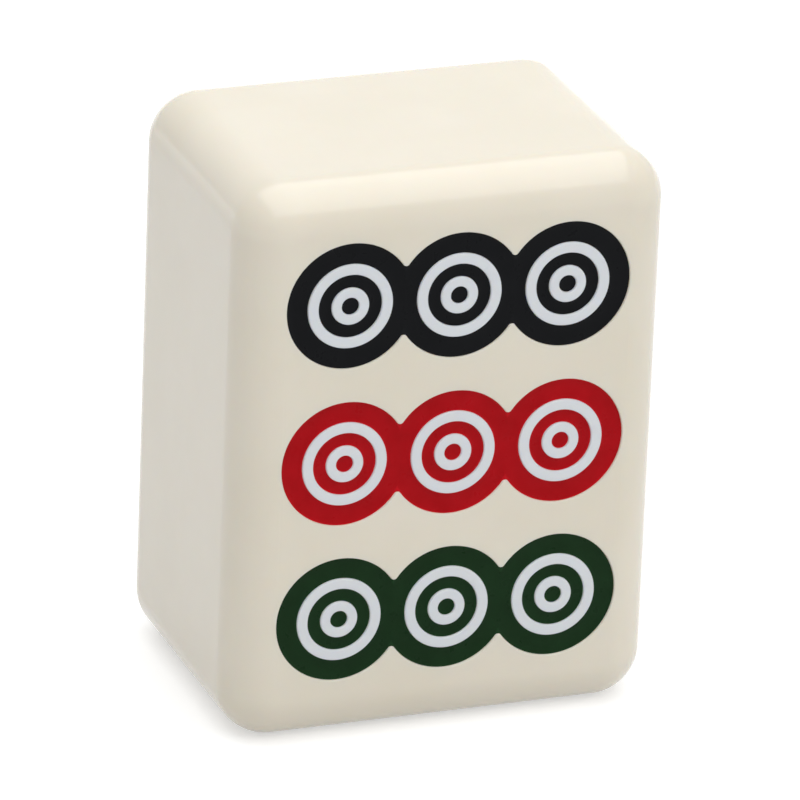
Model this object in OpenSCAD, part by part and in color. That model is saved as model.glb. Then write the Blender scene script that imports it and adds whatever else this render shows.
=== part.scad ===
// A mahjong tile, the nine of circles: a solid ivory block that stands on its short end, with
// three rows of three circles engraved in its face, and a fill of set paint in every groove.
// The block's middle is at x = 0 and y = 0, its foot at z = 0, and its face looks towards -Y.

/* [Block] */
// Width of the tile, from side to side
tile_w = 30; // [29:0.5:34]
// Height of the tile, standing on its short end
tile_h = 39.5; // [38:0.5:44]
// Thickness of the tile, from its face to its back
tile_t = 22.4; // [16:0.2:28]
// Radius of the four edges that run from the face to the back
corner_r = 3.5; // [3.3:0.1:4.2]
// Radius of the rims round the face and round the back, less than that of the four edges
rim_r = 3.2; // [1:0.1:3.4]

/* [Pattern] */
// How far the pattern lies above the middle of the face
pattern_rise = 0.3; // [0:0.1:0.8]
// Radius of the dot in the middle of a circle
dot_r = 0.6; // [0.4:0.05:0.7]
// Width of the ivory between the dot and the thin ring
inner_land_w = 0.7; // [0.5:0.05:0.8]
// Width of the thin ring
ring_w = 0.9; // [0.7:0.05:1]
// Width of the ivory between the thin ring and the band
outer_land_w = 0.75; // [0.5:0.05:0.85]
// Width of the band round a circle
band_w = 1.45; // [1.25:0.05:1.55]
// How far the bands of two neighbours in a row overlap
circle_overlap = 1.2; // [0.8:0.05:1.3]
// Width of the ivory between two rows
row_gap = 2.4; // [1.8:0.1:2.8]
// Radius of the cutter, which rounds the notches where two circles meet
cutter_r = 0.25; // [0.15:0.05:0.4]

/* [Grooves] */
// Depth of every groove
groove_depth = 0.6; // [0.45:0.05:1]
// How much narrower a groove is at its floor, on each wall
groove_draft = 0.08; // [0.02:0.01:0.12]
// Bevel left by polishing round the mouth of a groove
mouth_bevel = 0.05; // [0.02:0.01:0.08]

/* [Paint] */
// How far the paint lies below the face where it meets a wall
paint_recess = 0.14; // [0.1:0.01:0.2]
// How far the paint sinks further between its walls, as it dries
paint_sink = 0.06; // [0.02:0.01:0.1]
// Clearance between the paint and a groove's walls
paint_clearance = 0.005; // [0.005:0.005:0.02]

/* [Hidden] */
// Rows from the top down and places in a row from left to right
ROWS = ["black", "red", "green"];
PLACES = ["left", "middle", "right"];
ROW_COLOURS = [[0.07, 0.07, 0.1], [0.72, 0.02, 0.07], [0.06, 0.2, 0.1]];
IVORY = [0.94, 0.9, 0.82];

function band_name(row) = str(ROWS[row], "_band");
function ring_name(row, place) = str(ROWS[row], "_ring_", PLACES[place]);
function dot_name(row, place) = str(ROWS[row], "_dot_", PLACES[place]);

$fn = 96;
// The paint's sunk surface is a short arc of a large circle, so that circle is finer
sunk_fn = 8 * $fn;

// Radii of one circle, from its centre outwards
ring_in = dot_r + inner_land_w;
ring_out = ring_in + ring_w;
band_in = ring_out + outer_land_w;
band_out = band_in + band_w;

// Centre to centre of neighbours in a row, and of neighbouring rows
circle_pitch = 2 * band_out - circle_overlap;
row_pitch = 2 * band_out + row_gap;
function circle_x(place) = (place - 1) * circle_pitch;
function row_z(row) = tile_h / 2 + pattern_rise + (1 - row) * row_pitch;

// How far a cut runs past the face or a floor, so that it cuts clean
overrun = groove_depth / 2;
// Height of the cutter's centre above the line through two circles' centres, at a notch
notch_z = sqrt(pow(band_out + cutter_r, 2) - pow(circle_pitch / 2, 2));
// How far the notch's round bites into the two circles, so that it meets them at an angle
notch_bite = cutter_r / 25;
// How far a wall has leaned into its groove at a depth below the face
function lean(depth) = groove_draft * (depth - mouth_bevel) / (groove_depth - mouth_bevel);

// Puts its children at a point of the face, with their z as the depth below the face
module on_face(x, z) {
    translate([x, -tile_t / 2, z]) rotate([-90, 0, 0]) children();
}

// The section of the block across one of its long ways, with the rims' radius at its corners
module rim_outline(across) {
    square([across, tile_t - 2 * rim_r], center = true);
    square([across - 2 * rim_r, tile_t], center = true);
    for (sx = [-1, 1], sy = [-1, 1])
        translate([sx * (across / 2 - rim_r), sy * (tile_t / 2 - rim_r)]) circle(rim_r);
}

// A disc as thick as the block, round like its corner, with the rims round both its faces
module corner_disc() {
    rotate([90, 0, 0]) rotate_extrude() intersection() {
        rim_outline(2 * corner_r);
        translate([0, -tile_t / 2]) square([corner_r, tile_t]);
    }
}

// The block before it is engraved: two bars that cross, and a disc at each corner
module blank() {
    straight_w = tile_w - 2 * corner_r;
    straight_h = tile_h - 2 * corner_r;
    translate([0, 0, corner_r]) linear_extrude(straight_h) rim_outline(tile_w);
    translate([-straight_w / 2, 0, tile_h / 2]) rotate([90, 0, 90])
        linear_extrude(straight_w) rotate(90) rim_outline(tile_h);
    for (sx = [-1, 1], sz = [-1, 1])
        translate([sx * straight_w / 2, 0, (tile_h + sz * straight_h) / 2]) corner_disc();
}

// A round plug through the face. With side = 1 it is what a cutter takes out: its wall is the
// groove's outer wall, and it ends at the floor. With side = -1 it is the ivory that stands in
// the groove: its wall is the groove's inner wall, and it runs past both ends. The gap draws
// the wall into the groove, which makes the plug one for paint.
module plug(r, side, gap = 0) {
    top = side > 0 ? -overrun : -2 * overrun;
    end = side > 0 ? groove_depth : groove_depth + overrun;
    mouth_r = r + side * (mouth_bevel - gap);
    rotate_extrude() polygon([
        [0, top], [mouth_r, top], [mouth_r, 0], [r - side * gap, mouth_bevel],
        [r - side * (gap + lean(end)), end], [0, end]
    ]);
}

// What the cutter takes out between two circles: the quadrilateral of the circles' centres and
// the cutter's centres at the two notches, less the ivory that it leaves round there
module web(gap = 0) {
    difference() {
        translate([0, 0, -overrun]) linear_extrude(groove_depth + overrun) polygon([
            [0, 0], [circle_pitch / 2, notch_z], [circle_pitch, 0], [circle_pitch / 2, -notch_z]
        ]);
        for (side = [-1, 1]) translate([circle_pitch / 2, side * notch_z])
            plug(cutter_r + notch_bite, -1, gap);
    }
}

// The groove round a row of circles, which the bands of the three circles share
module band_shape(gap = 0) {
    difference() {
        union() {
            for (place = [0:2]) translate([circle_x(place), 0]) plug(band_out, 1, gap);
            for (place = [0:1]) translate([circle_x(place), 0]) web(gap);
        }
        for (place = [0:2]) translate([circle_x(place), 0]) plug(band_in, -1, gap);
    }
}

// The groove of a thin ring
module ring_shape(gap = 0) {
    difference() {
        plug(ring_out, 1, gap);
        plug(ring_in, -1, gap);
    }
}

// The groove of a dot
module dot_shape(gap = 0) {
    plug(dot_r, 1, gap);
}

// What the paint lacks above its surface, which sinks in an arc between r_in and r_out
module sunk_surface(r_in, r_out) {
    middle = r_in > 0 ? (r_in + r_out) / 2 : 0;
    half_w = r_out - middle;
    arc_r = (pow(half_w, 2) + pow(paint_sink, 2)) / (2 * paint_sink);
    reach = 1.5 * half_w;
    start = max(0, middle - reach);
    rotate_extrude() intersection() {
        translate([middle, paint_recess + paint_sink - arc_r]) circle(arc_r, $fn = sunk_fn);
        translate([start, -2 * overrun])
            square([middle + reach - start, 2 * overrun + groove_depth]);
    }
}

// The ivory block with all its grooves
module tile_body() {
    color(IVORY) difference() {
        blank();
        for (row = [0:2]) {
            on_face(0, row_z(row)) band_shape();
            for (place = [0:2]) on_face(circle_x(place), row_z(row)) {
                ring_shape();
                dot_shape();
            }
        }
    }
}

// The paint round a row of circles
module paint_band(row) {
    color(ROW_COLOURS[row]) on_face(0, row_z(row)) difference() {
        band_shape(paint_clearance);
        for (place = [0:2]) translate([circle_x(place), 0]) sunk_surface(band_in, band_out);
    }
}

// The paint in a thin ring
module paint_ring(row, place) {
    color(ROW_COLOURS[row]) on_face(circle_x(place), row_z(row)) difference() {
        ring_shape(paint_clearance);
        sunk_surface(ring_in, ring_out);
    }
}

// The paint in a dot
module paint_dot(row, place) {
    color(ROW_COLOURS[row]) on_face(circle_x(place), row_z(row)) difference() {
        dot_shape(paint_clearance);
        sunk_surface(0, dot_r);
    }
}

tile_body();
for (row = [0:2]) {
    paint_band(row);
    for (place = [0:2]) {
        paint_ring(row, place);
        paint_dot(row, place);
    }
}
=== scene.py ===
# %% [markdown]
# # A mahjong tile, the nine of circles
#
# A mahjong tile is a small solid block of melamine resin, cast the colour of ivory and tumbled until its edges
# are round and its faces shine. The pattern is engraved a little over half a millimetre deep, the grooves are
# filled with enamel, and what is too much is wiped off. So the piece that carries the looks is the block, and
# every groove holds its own fill of paint. The CAD model already says where each of the 22 pieces is. This
# notebook builds the same pieces again with smoother edges and curved paint, gives them their finishes, and
# sets up the picture.
#
# The CAD model comes first. It is loaded as a fixed frame, and its box is kept to compare with at the end.

# %% Load the CAD model
import math

import bpy
from mathutils import Matrix, Vector


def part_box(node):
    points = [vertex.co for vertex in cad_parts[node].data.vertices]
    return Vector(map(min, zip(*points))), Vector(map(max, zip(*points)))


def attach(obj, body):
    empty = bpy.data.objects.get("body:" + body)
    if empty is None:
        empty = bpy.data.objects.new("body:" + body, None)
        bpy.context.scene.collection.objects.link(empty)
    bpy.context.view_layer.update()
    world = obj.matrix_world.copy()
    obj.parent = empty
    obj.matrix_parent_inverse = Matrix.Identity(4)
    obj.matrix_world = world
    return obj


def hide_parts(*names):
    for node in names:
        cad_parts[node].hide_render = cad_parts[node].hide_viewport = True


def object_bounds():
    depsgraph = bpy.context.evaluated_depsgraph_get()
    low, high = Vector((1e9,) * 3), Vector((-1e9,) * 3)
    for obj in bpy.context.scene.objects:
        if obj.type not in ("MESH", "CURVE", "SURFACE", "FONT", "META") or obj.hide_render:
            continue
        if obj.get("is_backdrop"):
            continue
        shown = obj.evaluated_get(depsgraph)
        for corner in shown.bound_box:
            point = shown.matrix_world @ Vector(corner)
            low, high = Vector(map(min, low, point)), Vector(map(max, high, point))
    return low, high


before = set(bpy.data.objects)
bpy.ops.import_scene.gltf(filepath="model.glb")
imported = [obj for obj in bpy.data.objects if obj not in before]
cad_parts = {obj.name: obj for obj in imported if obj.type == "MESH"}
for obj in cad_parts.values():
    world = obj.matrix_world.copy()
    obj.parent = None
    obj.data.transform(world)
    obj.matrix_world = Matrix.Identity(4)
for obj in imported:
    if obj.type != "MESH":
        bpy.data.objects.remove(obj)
cad_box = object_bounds()
print(len(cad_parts), "CAD nodes, box", [tuple(round(c, 4) for c in corner) for corner in cad_box])

# %% [markdown]
# ## Sizes
#
# Blender works in metres and a tile is measured in millimetres, so one name stands for a millimetre. The places
# of the block and of every circle are read from the CAD nodes. The widths of rings and bands are not in a box,
# so the values of the drawing are written here again.

# %% Sizes of the tile
MM = 0.001
block_low, block_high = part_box("tile_body")
FACE_Y = block_low.y
CORNER_R = 3.5 * MM
RIM_R = 3.2 * MM

ROWS = ("black", "red", "green")
PLACES = ("left", "middle", "right")
DOT_R = 0.6 * MM
RING_IN, RING_OUT = 1.3 * MM, 2.2 * MM
BAND_IN, BAND_OUT = 2.95 * MM, 4.4 * MM
CUTTER_R = 0.25 * MM
GROOVE_DEPTH = 0.6 * MM
DRAFT = 0.08 * MM
PAINT_RECESS = 0.14 * MM
PAINT_SINK = 0.06 * MM
CLEARANCE = 0.005 * MM
OVERRUN = 0.3 * MM


def circle_centre(row, place):
    """The middle of a circle, which is the middle of its dot, on the face of the block."""
    low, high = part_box(f"{row}_dot_{place}")
    return Vector(((low.x + high.x) / 2, FACE_Y, (low.z + high.z) / 2))


PITCH = circle_centre("black", "right").x - circle_centre("black", "middle").x
print("face at y", round(FACE_Y / MM, 2), "mm, circles", round(PITCH / MM, 2), "mm apart")

# %% [markdown]
# ## Working by hand, in code
#
# An operator acts on what is selected, just as it does under the mouse. These helpers select one object, go in
# and out of edit mode, and pick edges by where they lie.

# %% Helpers for selecting and editing
def only(obj):
    """Makes obj the one selected and active object."""
    bpy.ops.object.select_all(action="DESELECT")
    obj.select_set(True)
    bpy.context.view_layer.objects.active = obj


def edit(obj, mode):
    """Goes into edit mode on obj, selecting by vertex, edge or face."""
    only(obj)
    bpy.context.tool_settings.mesh_select_mode = [mode == m for m in ("vertex", "edge", "face")]
    bpy.ops.object.mode_set(mode="EDIT")


def done():
    """Goes back to object mode."""
    bpy.ops.object.mode_set(mode="OBJECT")


def pick_edges(obj, test):
    """Selects, outside edit mode, the edges for which a test on their two ends holds, and counts them."""
    mesh = obj.data
    for group in (mesh.vertices, mesh.edges, mesh.polygons):
        group.foreach_set("select", [False] * len(group))
    chosen = [edge for edge in mesh.edges if test(*(mesh.vertices[v].co for v in edge.vertices))]
    for edge in chosen:
        edge.select = True
    return len(chosen)


def apply_modifier(obj, name, kind, **settings):
    """Adds a modifier with these settings and applies it at once."""
    only(obj)
    modifier = obj.modifiers.new(name, kind)
    for key, value in settings.items():
        setattr(modifier, key, value)
    bpy.ops.object.modifier_apply(modifier=modifier.name)


# %% [markdown]
# ## The block
#
# On the real tile the block is cast, cut and tumbled. It could be a cube with a bevel modifier, but one bevel
# gives all edges one radius, and here the four edges from the face to the back are rounder than the rims. Two
# bevels by hand do it: first the four long edges, then the outlines of the face and of the back.

# %% Round the block
CORNER_SEGMENTS, RIM_SEGMENTS = 20, 18

bpy.ops.object.select_all(action="DESELECT")
bpy.ops.mesh.primitive_cube_add(size=1, location=(block_low + block_high) / 2, scale=block_high - block_low)
block = bpy.context.object
block.name = "block"
bpy.ops.object.transform_apply(location=True, rotation=True, scale=True)

long_edges = pick_edges(block, lambda a, b: abs(a.y - b.y) > MM)
edit(block, "edge")
bpy.ops.mesh.bevel(offset=CORNER_R, segments=CORNER_SEGMENTS, profile=0.5, affect="EDGES")
done()
outline_edges = pick_edges(block, lambda a, b: abs(a.y - b.y) < MM)
edit(block, "edge")
bpy.ops.mesh.bevel(offset=RIM_R, segments=RIM_SEGMENTS, profile=0.5, affect="EDGES")
done()
print("bevelled", long_edges, "long edges and", outline_edges, "edges of the two outlines;",
      len(block.data.polygons), "faces")

# %% [markdown]
# ## Drawing with points
#
# Every groove and every fill is round, or is made of arcs. A turner would draw the section and turn it, and a
# draughtsman would draw the outline with a pair of compasses. Both start from one point: a small plane whose
# corners are merged. Extruding the point draws a line and spinning it draws an arc.

# %% Helpers for turned pieces
STEPS, DOT_STEPS = 96, 64


def start_point(name, at):
    """A new object in edit mode whose only vertex is at this point."""
    bpy.ops.object.select_all(action="DESELECT")
    bpy.context.tool_settings.mesh_select_mode = (True, False, False)
    bpy.ops.mesh.primitive_plane_add(size=MM, location=(0, 0, 0))
    obj = bpy.context.object
    obj.name = obj.data.name = name
    bpy.ops.object.mode_set(mode="EDIT")
    bpy.ops.mesh.select_all(action="SELECT")
    bpy.ops.mesh.merge(type="CENTER")
    bpy.ops.transform.translate(value=at)
    return obj


def merge_all(distance=0.0005 * MM):
    """In edit mode, merges all points that are nearer to each other than this."""
    bpy.ops.mesh.select_all(action="SELECT")
    bpy.ops.mesh.remove_doubles(threshold=distance)


def turned(name, section, centre, steps=STEPS):
    """Turns a section, a closed list of (radius, depth below the face), about the line through a circle's
    centre that runs into the face."""
    points = [Vector((centre.x + radius, FACE_Y + depth, centre.z)) for radius, depth in section]
    obj = start_point(name, points[0])
    for a, b in zip(points, points[1:]):
        bpy.ops.mesh.extrude_vertices_move(TRANSFORM_OT_translate={"value": b - a})
    bpy.ops.mesh.select_all(action="SELECT")
    bpy.ops.mesh.spin(steps=steps, angle=2 * math.pi, center=centre, axis=(0, 1, 0))
    merge_all()
    bpy.ops.mesh.normals_make_consistent(inside=False)
    done()
    return obj


# %% [markdown]
# ## The section of a groove
#
# The cutter leaves walls that lean a little, and polishing rounds the mouth. So the section of a groove is
# straight at the bottom and opens in a short curve at the face. The same list of points serves the outer wall,
# where the groove ends outwards, and the inner wall, where an island of ivory stands in it.

# %% Walls of a groove
MOUTH_R = 0.09 * MM
MOUTH_ANGLES = (0, 30, 60)
MOUTH_RISE = 0.05 * MM


def wall(radius, side):
    """The section of a wall from the floor up to above the face. Side 1 is an outer wall and side -1 an inner
    one, and radius is the wall's own at the face, before its mouth is rounded."""
    points = [(radius - side * DRAFT, GROOVE_DEPTH)]
    for angle in map(math.radians, MOUTH_ANGLES):
        points.append((radius + side * MOUTH_R * (1 - math.cos(angle)), MOUTH_R * (1 - math.sin(angle))))
    last_r, last_depth = points[-1]
    slope = math.tan(math.radians(90 - MOUTH_ANGLES[-1]))
    points.append((last_r + side * (last_depth + MOUTH_RISE) / slope, -MOUTH_RISE))
    points.append((points[-1][0], -OVERRUN))
    return points


print("a wall has", len(wall(BAND_OUT, 1)), "points; its mouth is", round(MOUTH_R / MM, 2), "mm round")

# %% [markdown]
# ## The cutters for rings and dots
#
# To engrave the block, a solid of the shape of each groove is taken away from it. All cutters are made at the top
# row and copied later. A ring groove is its section turned round. The cutter of a dot ends on its own axis, so its
# section is left open there, and merging the points on the axis closes it.

# %% Turn the cutters of a ring and of a dot
TOP_ROW = ROWS[0]
first = circle_centre(TOP_ROW, "left")
ring_section = wall(RING_OUT, 1) + wall(RING_IN, -1)[::-1]
ring_cutter = turned("ring_cutter", ring_section + ring_section[:1], first)
dot_cutter = turned("dot_cutter", [(0, GROOVE_DEPTH)] + wall(DOT_R, 1) + [(0, -OVERRUN)], first, DOT_STEPS)
print("ring cutter", len(ring_cutter.data.polygons), "faces, dot cutter", len(dot_cutter.data.polygons), "faces")

# %% [markdown]
# ## The outline of a row
#
# The outer grooves of three neighbours run into each other, so a row has one band. Its outline is a chain of
# eight arcs: three lobes of the circles, and between them four small arcs where the round cutter can't reach
# into the notch. A spin draws each arc from the point where the last one ended.

# %% Draw the outline of a row with arcs
NOTCH_Z = math.sqrt((BAND_OUT + CUTTER_R) ** 2 - (PITCH / 2) ** 2)
NOTCH_ANGLE = math.atan2(NOTCH_Z, PITCH / 2)
LOBE_TURN, SIDE_TURN = 2 * (math.pi - NOTCH_ANGLE), math.pi - 2 * NOTCH_ANGLE
ARC_STEP = math.radians(3.75)
NOTCH_STEPS = 8


def row_face(name, offset, depth):
    """A flat face at a depth below the block's face: the outline of a row's band, drawn outwards by offset. It
    stays in edit mode, with the face selected."""
    middle = circle_centre(TOP_ROW, "middle") + Vector((0, depth, 0))
    radius = BAND_OUT + offset
    start = middle + Vector((PITCH - radius * math.cos(NOTCH_ANGLE), 0, -radius * math.sin(NOTCH_ANGLE)))
    obj = start_point(name, start)
    arcs = [(PITCH, 0, LOBE_TURN), (PITCH / 2, NOTCH_Z, -SIDE_TURN), (0, 0, SIDE_TURN),
            (-PITCH / 2, NOTCH_Z, -SIDE_TURN), (-PITCH, 0, LOBE_TURN), (-PITCH / 2, -NOTCH_Z, -SIDE_TURN),
            (0, 0, SIDE_TURN), (PITCH / 2, -NOTCH_Z, -SIDE_TURN)]
    for x, z, turn in arcs:
        steps = NOTCH_STEPS if z else round(turn / ARC_STEP)
        bpy.ops.mesh.spin(steps=steps, angle=turn, center=middle + Vector((x, 0, z)), axis=(0, 1, 0))
    merge_all()
    bpy.ops.mesh.edge_face_add()
    done()
    edit(obj, "face")
    bpy.ops.mesh.select_all(action="SELECT")
    if obj.data.polygons[0].normal.y < 0:
        bpy.ops.mesh.flip_normals()
    return obj


def extrude_down(start, steps):
    """Extrudes the face that row_face drew at one depth down to the first of steps, and insets it to the others.
    A step is (offset, depth)."""
    offset, depth = steps[0]
    bpy.ops.mesh.extrude_region_move(TRANSFORM_OT_translate={"value": (0, depth - start, 0)})
    for next_offset, next_depth in steps[1:]:
        bpy.ops.mesh.inset(thickness=offset - next_offset, depth=next_depth - depth)
        offset, depth = next_offset, next_depth
    bpy.ops.mesh.select_all(action="SELECT")
    bpy.ops.mesh.normals_make_consistent(inside=False)
    done()


outer = [(radius - BAND_OUT, depth) for radius, depth in wall(BAND_OUT, 1)][::-1]
band_cutter = row_face("band_cutter", *outer[0])
extrude_down(outer[0][1], outer[1:])
print("band cutter before its islands:", len(band_cutter.data.polygons), "faces")

# %% [markdown]
# ## Islands in a row
#
# Inside each lobe an island of ivory is left standing. The islands are turned as solids that run past both ends
# of the cutter, and taken away from it with the Boolean modifier.

# %% Take the islands out of the band cutter
def joined(name, *objects):
    """Joins objects into the first one."""
    only(objects[0])
    for obj in objects[1:]:
        obj.select_set(True)
    bpy.ops.object.join()
    objects[0].name = objects[0].data.name = name
    return objects[0]


def take_away(obj, other):
    """Takes another solid away from obj, which uses it up."""
    apply_modifier(obj, "boolean", "BOOLEAN", operation="DIFFERENCE", object=other, solver="EXACT")
    bpy.data.objects.remove(other)


def islands(section):
    """One turned solid for each circle of the row, as one object. The section is open at the axis."""
    return joined("islands", *(turned("island", section, circle_centre(TOP_ROW, place)) for place in PLACES))


inner = wall(BAND_IN, -1)
below = GROOVE_DEPTH + OVERRUN
island_section = [(0, below), (inner[0][0], below)] + inner + [(inner[-1][0], -2 * OVERRUN), (0, -2 * OVERRUN)]
take_away(band_cutter, islands(island_section))
print("band cutter:", len(band_cutter.data.polygons), "faces")

# %% [markdown]
# ## Engraving
#
# The three cutters are modelled once and copied to every place, each copy with its own mesh. Joined into one
# object, they are taken away from the block in one go.

# %% Copy the cutters and engrave the block
def copied(obj, name, move):
    """A copy of obj with its own mesh, moved in its mesh, so that the object stays at the origin."""
    only(obj)
    bpy.ops.object.duplicate()
    twin = bpy.context.object
    twin.name = twin.data.name = name
    bpy.ops.transform.translate(value=move)
    bpy.ops.object.transform_apply(location=True)
    return twin


cutters = []
for row in ROWS:
    down = circle_centre(row, "left") - first
    cutters.append(copied(band_cutter, "cut", down))
    for place in PLACES:
        move = circle_centre(row, place) - first
        cutters.append(copied(ring_cutter, "cut", move))
        cutters.append(copied(dot_cutter, "cut", move))
for obj in (band_cutter, ring_cutter, dot_cutter):
    bpy.data.objects.remove(obj)
print(len(cutters), "cutters")
take_away(block, joined("cutters", *cutters))
print("engraved block:", len(block.data.polygons), "faces")

# %% [markdown]
# ## The paint
#
# Enamel is poured wet, wiped level and then shrinks as it dries. It stays up where it clings to the walls and
# sinks between them, which gives each fill a soft dip that catches the light. A ring's fill is its section with
# the dip drawn as a curve, turned round. A dot's fill needs only the half of its section from the wall to the axis.

# %% Turn the fills of a ring and of a dot
DIP_STEPS = 8


def lean(depth):
    """How far a wall has come into its groove at a depth."""
    return DRAFT * (depth - MOUTH_R) / (GROOVE_DEPTH - MOUTH_R)


def paint_edge(radius, side, depth):
    """The radius of the paint's edge at a depth, against the groove's outer (1) or inner (-1) wall."""
    return radius - side * (lean(depth) + CLEARANCE)


def dip(inner_r, outer_r, over=1.0):
    """The surface of the paint from its outer to its inner edge, as (radius, depth) points: steep at the walls
    and flat between them. With over above 1 it runs on past both edges."""
    middle, half = (inner_r + outer_r) / 2, (outer_r - inner_r) / 2
    shares = [over * (1 - 2 * step / DIP_STEPS) for step in range(DIP_STEPS + 1)]
    return [(middle + half * t, PAINT_RECESS + PAINT_SINK * (1 - abs(t) ** 3)) for t in shares]


ring_top = dip(paint_edge(RING_IN, -1, PAINT_RECESS), paint_edge(RING_OUT, 1, PAINT_RECESS))
ring_fill_section = ([(paint_edge(RING_IN, -1, GROOVE_DEPTH), GROOVE_DEPTH),
                      (paint_edge(RING_OUT, 1, GROOVE_DEPTH), GROOVE_DEPTH)] + ring_top)
ring_fill = turned("ring_fill", ring_fill_section + ring_fill_section[:1], first)

dot_edge = paint_edge(DOT_R, 1, PAINT_RECESS)
dot_top = dip(-dot_edge, dot_edge)[:DIP_STEPS // 2 + 1]
dot_fill = turned("dot_fill", [(0, GROOVE_DEPTH), (paint_edge(DOT_R, 1, GROOVE_DEPTH), GROOVE_DEPTH)] + dot_top,
                  first, DOT_STEPS)
print("ring fill", len(ring_fill.data.polygons), "faces, dot fill", len(dot_fill.data.polygons), "faces")

# %% [markdown]
# ## The paint of a row
#
# The band's fill can't be turned, because its outline has three lobes. It starts as the outline extruded down
# to the floor and inset as the walls lean. The islands come out of it, and then three turned dips, one about
# each circle's centre, take away what is above the paint's surface. The dips are turned in different numbers of
# steps, because a Boolean fails where the edges of two neighbours lie on each other.

# %% Shape the fill of a row
FILL_TOP = 0.1 * MM
LIP = 0.01 * MM
DIP_TURNS = (97, 101, 103)
DIP_OVER = 1.12
SLIVER = 0.002 * MM

fill_offset = paint_edge(0, 1, FILL_TOP)
band_fill = row_face("band_fill", fill_offset, FILL_TOP)
extrude_down(FILL_TOP, [(fill_offset, FILL_TOP + LIP), (paint_edge(0, 1, GROOVE_DEPTH), GROOVE_DEPTH)])

top_depth = FILL_TOP - OVERRUN / 2
fill_island = [(0, below), (paint_edge(BAND_IN, -1, below), below), (paint_edge(BAND_IN, -1, top_depth), top_depth),
               (0, top_depth)]
take_away(band_fill, islands(fill_island))

band_dip = dip(paint_edge(BAND_IN, -1, PAINT_RECESS), paint_edge(BAND_OUT, 1, PAINT_RECESS), DIP_OVER)
reach_out, reach_in = BAND_OUT + 2 * CUTTER_R, BAND_IN - CUTTER_R
rim_depth = FILL_TOP + LIP / 2
dip_section = [(reach_out, 0), (reach_out, rim_depth)] + band_dip + [(reach_in, rim_depth), (reach_in, 0)]
for place, steps in zip(PLACES, DIP_TURNS):
    take_away(band_fill, turned("dip", dip_section + dip_section[:1], circle_centre(TOP_ROW, place), steps))
edit(band_fill, "vertex")
merge_all(SLIVER)
done()
print("band fill:", len(band_fill.data.polygons), "faces")

# %% [markdown]
# ## A fill in every groove
#
# The fills are copied as the cutters were, and each becomes a piece of its own with a name that says its colour
# and place. A last look at the shading: flat faces and rounded edges meet here without a crease, so the surface
# is smooth except at sharp edges, and the Weighted Normal modifier keeps the large faces flat.

# %% Copy the fills and smooth all pieces
SHARP = math.radians(40)

for obj in (block, band_fill, ring_fill, dot_fill):
    only(obj)
    bpy.ops.object.shade_smooth_by_angle(angle=SHARP)
    apply_modifier(obj, "flat faces", "WEIGHTED_NORMAL", keep_sharp=True)

fills = {}
for row in ROWS:
    fills[f"{row}_band"] = copied(band_fill, f"{row}_band_paint", circle_centre(row, "left") - first)
    for place in PLACES:
        move = circle_centre(row, place) - first
        fills[f"{row}_ring_{place}"] = copied(ring_fill, f"{row}_ring_paint_{place}", move)
        fills[f"{row}_dot_{place}"] = copied(dot_fill, f"{row}_dot_paint_{place}", move)
for obj in (band_fill, ring_fill, dot_fill):
    bpy.data.objects.remove(obj)
print(len(fills), "fills")

# %% [markdown]
# ## Nodes for the finishes
#
# A finish is a Principled shader with a few nodes in front of it. All patterns read Object coordinates, which
# are in metres here, so a noise of scale 100 has features about a centimetre wide.

# %% Helpers for materials
def new_material(name, sockets):
    """A material with these values on its Principled shader's own sockets, with its node tree and that shader."""
    made = bpy.data.materials.new(name)
    made.use_nodes = True
    shader = made.node_tree.nodes["Principled BSDF"]
    for socket, value in sockets.items():
        shader.inputs[socket].default_value = value
    return made, made.node_tree, shader


def add(tree, kind, inputs=(), **settings):
    """A node with settings; inputs is a dict of values or of the outputs that are linked to them."""
    made = tree.nodes.new(kind)
    for key, value in settings.items():
        setattr(made, key, value)
    for key, value in dict(inputs).items():
        if isinstance(value, bpy.types.NodeSocket):
            tree.links.new(value, made.inputs[key])
        else:
            made.inputs[key].default_value = value
    return made


def math_node(tree, operation, *values):
    """The result of a Math node on these values."""
    return add(tree, "ShaderNodeMath", dict(enumerate(values)), operation=operation).outputs[0]


def mapped(tree, value, from_min, from_max, to_min, to_max, smooth=False):
    """A value brought from one range to another, in a straight line or with soft ends."""
    kind = "SMOOTHSTEP" if smooth else "LINEAR"
    inputs = {"Value": value, "From Min": from_min, "From Max": from_max, "To Min": to_min, "To Max": to_max}
    return add(tree, "ShaderNodeMapRange", inputs, interpolation_type=kind).outputs[0]


def noise(tree, place, scale, detail):
    """A cloudy pattern between 0 and 1."""
    inputs = {"Vector": place, "Scale": scale, "Detail": detail, "Roughness": 0.5}
    return add(tree, "ShaderNodeTexNoise", inputs).outputs["Fac"]


def mixed(tree, factor, a, b):
    """The colour between a and b at a factor; a and b are colours or outputs. The node has sockets for every type
    of value, and 6, 7 and 2 are those for colours."""
    return add(tree, "ShaderNodeMix", {0: factor, 6: a, 7: b}, data_type="RGBA").outputs[2]


def bumped(tree, height, distance, **under):
    """The normal of a surface that a pattern raises by up to this distance, on top of another normal if given."""
    return add(tree, "ShaderNodeBump", {"Height": height, "Strength": 1.0, "Distance": distance, **under}).outputs[0]


# %% [markdown]
# ## How far from a circle's centre
#
# Some details follow the circles: the islands between the rings look whiter than the face, and paint is thinner
# along its edges. One group of nodes gives them the distance to the nearest circle's centre. Wrapping a
# coordinate at the pitch makes one circle do for all nine.

# %% Distance to the nearest circle's centre
MIDDLE = circle_centre(ROWS[1], "middle")
ROW_PITCH = circle_centre(TOP_ROW, "middle").z - MIDDLE.z


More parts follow.
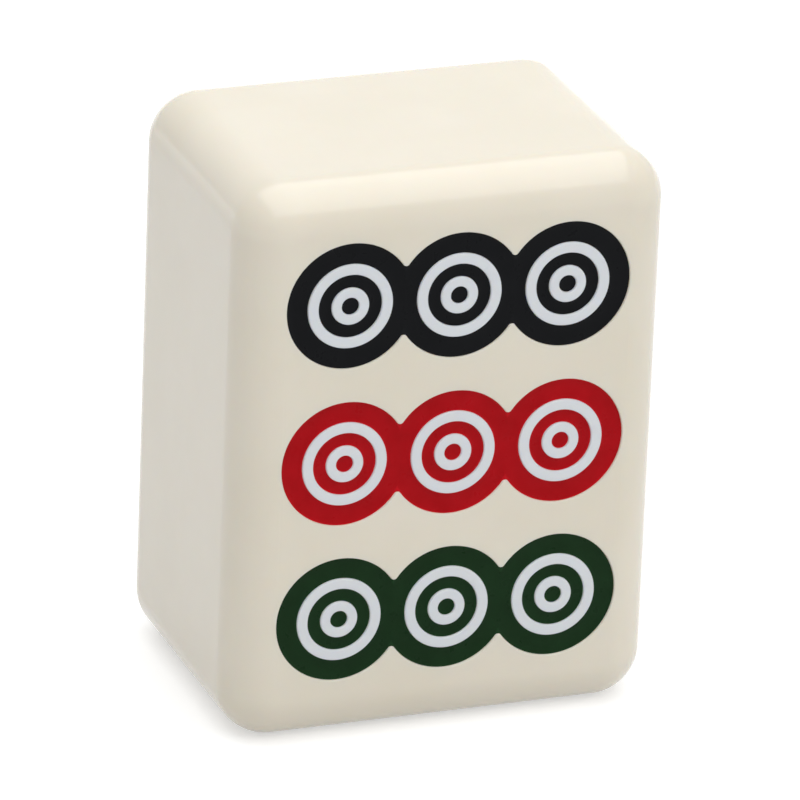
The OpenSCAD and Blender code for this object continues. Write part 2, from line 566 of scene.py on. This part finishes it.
def circle_distance(tree, place):
    """The distance from a place to the nearest circle's centre, measured along the face."""
    parts = add(tree, "ShaderNodeSeparateXYZ", {0: place})
    across = math_node(tree, "WRAP", parts.outputs["X"], PITCH / 2, -PITCH / 2)
    from_middle = math_node(tree, "SUBTRACT", parts.outputs["Z"], MIDDLE.z)
    up = math_node(tree, "WRAP", from_middle, ROW_PITCH / 2, -ROW_PITCH / 2)
    both = add(tree, "ShaderNodeCombineXYZ", {0: across, 1: up})
    return add(tree, "ShaderNodeVectorMath", {0: both.outputs[0]}, operation="LENGTH").outputs["Value"]


print("rows are", round(ROW_PITCH / MM, 2), "mm apart")

# %% [markdown]
# ## Ivory melamine
#
# Melamine resin is dense and a little translucent: light goes in, comes out a millimetre away, and comes out
# warmer. A little subsurface gives that. The cast colour is almost even, with faint clouds where the resin
# flowed. Tumbling leaves a polish with a hardly visible orange peel and very fine scratches, which show only in
# the reflections, so they go into roughness and bump.

# %% Make the ivory
IVORY_LIGHT = (0.86, 0.80, 0.675, 1)
IVORY_DEEP = (0.84, 0.78, 0.65, 1)
ISLAND_WHITE = (0.79, 0.815, 0.84, 1)
IVORY_ROUGHNESS = (0.13, 0.2)
CLOUD_SCALE, POLISH_SCALE, PEEL_SCALE, SCRATCH_SCALE = 110, 260, 420, 2600
SCRATCH_TURN, SCRATCH_STRETCH = (0.3, 0.5, 0.6), (1, 0.06, 0.3)
PEEL_DEPTH, SCRATCH_DEPTH = 0.005 * MM, 0.0004 * MM
ISLAND_FADE = 0.2 * MM

ivory, tree, shader = new_material("ivory melamine", {
    "Subsurface Weight": 0.3, "Subsurface Radius": (1.0, 0.7, 0.4), "Subsurface Scale": 1.0 * MM, "IOR": 1.56})
place = add(tree, "ShaderNodeTexCoord").outputs["Object"]
clouds = mapped(tree, noise(tree, place, CLOUD_SCALE, 4), 0.35, 0.65, 0, 1, smooth=True)
colour = mixed(tree, clouds, IVORY_DEEP, IVORY_LIGHT)

parts = add(tree, "ShaderNodeSeparateXYZ", {0: place})
in_circle = mapped(tree, circle_distance(tree, place), BAND_IN, BAND_IN + ISLAND_FADE, 1, 0, smooth=True)
near_face = mapped(tree, parts.outputs["Y"], FACE_Y + GROOVE_DEPTH, FACE_Y + 2 * GROOVE_DEPTH, 1, 0)
in_rows = math_node(tree, "LESS_THAN", math_node(tree, "ABSOLUTE", parts.outputs["X"]), 1.5 * PITCH)
island = math_node(tree, "MULTIPLY", in_circle, math_node(tree, "MULTIPLY", near_face, in_rows))
tree.links.new(mixed(tree, island, colour, ISLAND_WHITE), shader.inputs["Base Color"])

stretched = add(tree, "ShaderNodeMapping", {"Vector": place, "Rotation": SCRATCH_TURN, "Scale": SCRATCH_STRETCH})
scratches = noise(tree, stretched.outputs[0], SCRATCH_SCALE, 2)
polish = math_node(tree, "ADD", noise(tree, place, POLISH_SCALE, 3), scratches)
tree.links.new(mapped(tree, polish, 0.7, 1.3, *IVORY_ROUGHNESS), shader.inputs["Roughness"])

peel = bumped(tree, noise(tree, place, PEEL_SCALE, 2), PEEL_DEPTH)
tree.links.new(bumped(tree, scratches, SCRATCH_DEPTH, Normal=peel), shader.inputs["Normal"])
print("ivory melamine:", len(tree.nodes), "nodes")

# %% [markdown]
# ## Enamel
#
# The three colours are one finish with other values: opaque enamel that pools in the grooves. Where it is thin,
# along its edges, the ivory shines through a little and the colour is lighter; where it is thick, it is deeper.
# The surface is a soft gloss with fine ripples from drying.

# %% Make the three enamels
ENAMELS = {
    "black": ((0.003, 0.0035, 0.0045, 1), (0.007, 0.0075, 0.009, 1)),
    "red": ((0.41, 0.0015, 0.005, 1), (0.6, 0.006, 0.014, 1)),
    "green": ((0.005, 0.025, 0.006, 1), (0.011, 0.046, 0.014, 1)),
}
EDGES = (DOT_R, RING_IN, RING_OUT, BAND_IN, BAND_OUT)
EDGE_WIDTH = 0.16 * MM
EDGE_THINNESS, POOL_THINNESS = 0.7, 0.3
POOL_SCALE, GLOSS_SCALE, RIPPLE_SCALE = 700, 1500, 1100
ENAMEL_ROUGHNESS = (0.26, 0.38)
RIPPLE_DEPTH = 0.006 * MM


def enamel(name, deep, thin):
    """Opaque paint between its deep and its thin colour, by how near the edge of a groove is."""
    made, tree, shader = new_material(f"{name} enamel", {"Specular IOR Level": 0.08})
    place = add(tree, "ShaderNodeTexCoord").outputs["Object"]
    distance = circle_distance(tree, place)
    near = None
    for edge in EDGES:
        off = math_node(tree, "ABSOLUTE", math_node(tree, "SUBTRACT", distance, edge))
        near = off if near is None else math_node(tree, "MINIMUM", near, off)
    at_edge = mapped(tree, near, 0, EDGE_WIDTH, EDGE_THINNESS, 0, smooth=True)
    pooled = mapped(tree, noise(tree, place, POOL_SCALE, 3), 0.3, 0.7, 0, POOL_THINNESS)
    thinness = add(tree, "ShaderNodeMath", {0: at_edge, 1: pooled}, operation="ADD", use_clamp=True).outputs[0]
    tree.links.new(mixed(tree, thinness, deep, thin), shader.inputs["Base Color"])
    roughness = mapped(tree, noise(tree, place, GLOSS_SCALE, 3), 0.3, 0.7, *ENAMEL_ROUGHNESS)
    tree.links.new(roughness, shader.inputs["Roughness"])
    tree.links.new(bumped(tree, noise(tree, place, RIPPLE_SCALE, 3), RIPPLE_DEPTH), shader.inputs["Normal"])
    return made


enamels = {row: enamel(row, *colours) for row, colours in ENAMELS.items()}
print(", ".join(made.name for made in enamels.values()))

# %% [markdown]
# ## Dress the pieces
#
# Every new piece takes the place of its CAD node and rides with the tile's one body. The CAD nodes stay hidden,
# but they get the same finishes.

# %% Give every piece its finish
def dress(obj, node, material):
    """Gives a piece and its CAD node a finish, hides the node and puts the piece on the tile's body."""
    for mesh in (obj.data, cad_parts[node].data):
        mesh.materials.clear()
        mesh.materials.append(material)
    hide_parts(node)
    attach(obj, "root")


dress(block, "tile_body", ivory)
for node, obj in fills.items():
    row = node.split("_")[0]
    dress(obj, node, enamels[row])
print(1 + len(fills), "pieces dressed")

# %% [markdown]
# ## The table
#
# A studio table is a plain pale sheet. Its own grey would show below the lamps, so for the rays that come from
# the camera or from a reflection it glows a little, which makes it white and still leaves the tile's shadow.
# Further out, where the lamps don't reach, it glows more.

# %% Lay the table
TABLE_SIZE = 6
GLOW_REACH, GLOW = (0.1, 0.6), (0.5, 1.0)


def seen_directly(tree):
    """1 for rays of the camera, of a reflection or through glass, 0 for those that light the object."""
    path = add(tree, "ShaderNodeLightPath")
    mirrored = math_node(tree, "MAXIMUM", path.outputs["Is Glossy Ray"], path.outputs["Is Transmission Ray"])
    return math_node(tree, "MAXIMUM", path.outputs["Is Camera Ray"], mirrored)


bpy.ops.object.select_all(action="DESELECT")
bpy.ops.mesh.primitive_plane_add(size=TABLE_SIZE)
table = bpy.context.object
table.name = "table"
white, tree, shader = new_material("white table", {
    "Base Color": (0.7, 0.7, 0.7, 1), "Roughness": 0.7, "Specular IOR Level": 0.2})
place = add(tree, "ShaderNodeTexCoord").outputs["Object"]
away = add(tree, "ShaderNodeVectorMath", {0: place}, operation="LENGTH").outputs["Value"]
strength = mapped(tree, away, *GLOW_REACH, *GLOW, smooth=True)
glow = add(tree, "ShaderNodeEmission", {"Color": (1, 1, 1, 1), "Strength": strength})
lifted = add(tree, "ShaderNodeAddShader", {0: shader.outputs[0], 1: glow.outputs[0]})
either = add(tree, "ShaderNodeMixShader", {0: seen_directly(tree), 1: shader.outputs[0], 2: lifted.outputs[0]})
tree.links.new(either.outputs[0], tree.nodes["Material Output"].inputs["Surface"])
table.data.materials.append(white)
table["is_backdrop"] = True

# %% [markdown]
# ## Light
#
# The photograph was taken under soft light: the top is the brightest face, the engraved face is almost a third
# darker, and a broad bright line runs along the top's front rim. A large softbox overhead makes the top bright. A
# narrow one goes on from it towards the front, and together they draw that line, which ends sharply above the
# pattern. Weak ones in front, on both sides and behind fill the upright faces. These stay out of reflections,
# because a low lamp in the polished top would burn it out when it is seen from the far side. The world adds a
# little light from everywhere, and is white where the camera or a reflection sees it.

# %% Set up the world and the softboxes
WORLD_LIGHT, WHITE = 0.25, 1.0

world = bpy.data.worlds.new("studio")
bpy.context.scene.world = world
world.use_nodes = True
tree = world.node_tree
dim = tree.nodes["Background"]
dim.inputs["Color"].default_value = (1, 1, 1, 1)
dim.inputs["Strength"].default_value = WORLD_LIGHT
bright = add(tree, "ShaderNodeBackground", {"Color": (1, 1, 1, 1), "Strength": WHITE})
either = add(tree, "ShaderNodeMixShader", {0: seen_directly(tree), 1: dim.outputs[0], 2: bright.outputs[0]})
tree.links.new(either.outputs[0], tree.nodes["World Output"].inputs["Surface"])

TILE_MIDDLE = (block_low + block_high) / 2


def softbox(name, place, size, watts, mirrored=True):
    """A rectangular lamp aimed at the tile. With mirrored off, it lights the tile but isn't seen in its polish."""
    bpy.ops.object.light_add(type="AREA", location=place)
    lamp = bpy.context.object
    lamp.name = name
    lamp.data.shape = "RECTANGLE"
    lamp.data.size, lamp.data.size_y = size
    lamp.data.energy = watts
    lamp.rotation_euler = (TILE_MIDDLE - lamp.location).to_track_quat("-Z", "Y").to_euler()
    lamp.visible_camera = False
    lamp.visible_glossy = mirrored


softbox("overhead", (0, 0.05, 0.75), (0.9, 0.9), 4.15)
softbox("front above", (0, -0.6, 0.75), (0.9, 0.4), 1.65)
softbox("front", (0.1, -0.9, 0.5), (0.9, 0.9), 1.05, mirrored=False)
softbox("left", (-0.6, -0.2, 0.25), (0.7, 0.7), 0.25, mirrored=False)
softbox("right", (0.52, -0.35, 0.25), (0.6, 0.6), 0.65, mirrored=False)
softbox("behind", (0.2, 0.7, 0.3), (0.6, 0.6), 1.2, mirrored=False)

# %% [markdown]
# ## Camera
#
# The viewpoint was found by fitting a camera to the outline of the photographed tile and to the centres of its
# nine circles. It stands to the left of the tile and above it. The photograph shows the tile small and off to
# the side; here the camera turns to it from the same point and looks through a longer lens.

# %% Place the camera
camera_at = Vector((-187.6, -488.2, 239.1)) * MM
aim = Vector((0.4, 0, 19.2)) * MM
ROLL = math.radians(2.3)
LENS = 380

forward = (aim - camera_at).normalized()
level = forward.cross(Vector((0, 0, 1))).normalized()
right = Matrix.Rotation(-ROLL, 3, forward) @ level
upward = right.cross(forward)
bpy.ops.object.camera_add(location=camera_at)
camera = bpy.context.object
camera.matrix_world = Matrix.Translation(camera_at) @ Matrix((right, upward, -forward)).transposed().to_4x4()
camera.data.lens = LENS
camera.data.clip_start = 0.01
bpy.context.scene.camera = camera
bpy.context.scene.view_settings.view_transform = "Standard"
print("camera", round((aim - camera_at).length / MM), "mm from the tile")

# %% [markdown]
# ## Check the size
#
# Both boxes are printed, to see that the new pieces are no larger than the CAD model.

# %% Compare the boxes
seen_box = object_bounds()
for name, box in (("CAD", cad_box), ("visual", seen_box)):
    print(name, [tuple(round(c / MM, 3) for c in corner) for corner in box])
